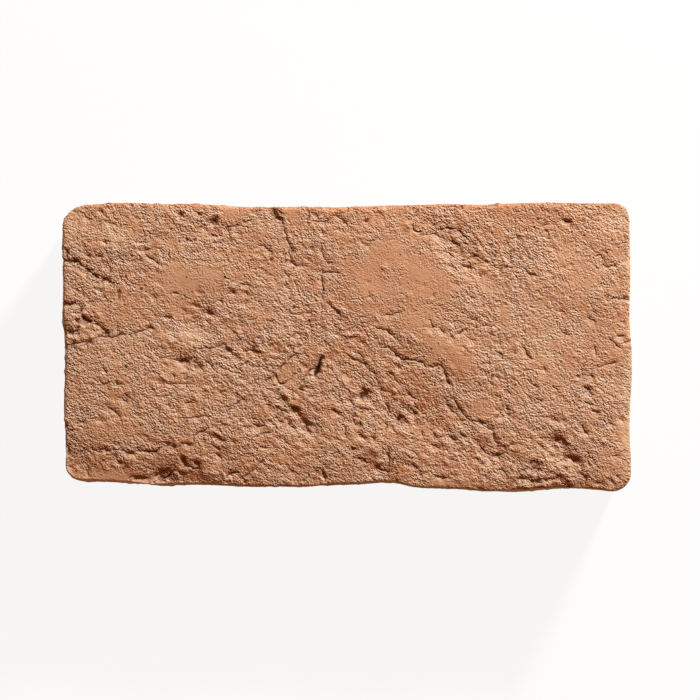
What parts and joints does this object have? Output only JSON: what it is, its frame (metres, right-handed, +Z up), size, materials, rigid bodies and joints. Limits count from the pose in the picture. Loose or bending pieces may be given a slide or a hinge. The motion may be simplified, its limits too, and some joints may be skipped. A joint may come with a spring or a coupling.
{
  "type": "clay brick",
  "caption": "Hand-moulded solid clay brick with soft wavy edges, rounded corners, a creased and pitted moulded face, and a flat bed to rest on.",
  "frame": {"origin": "centre of the bounding box, on the plane of the bed that the brick lies on", "axes": "+X along the brick's length, +Y across its width, +Z up, out of the creased moulded face"},
  "size_m": [0.2406, 0.1232, 0.0562],
  "materials": {
    "fired_clay": "matte"
  },
  "bodies": {
    "root": {"brick": "fired_clay"}
  },
  "joints": []
}
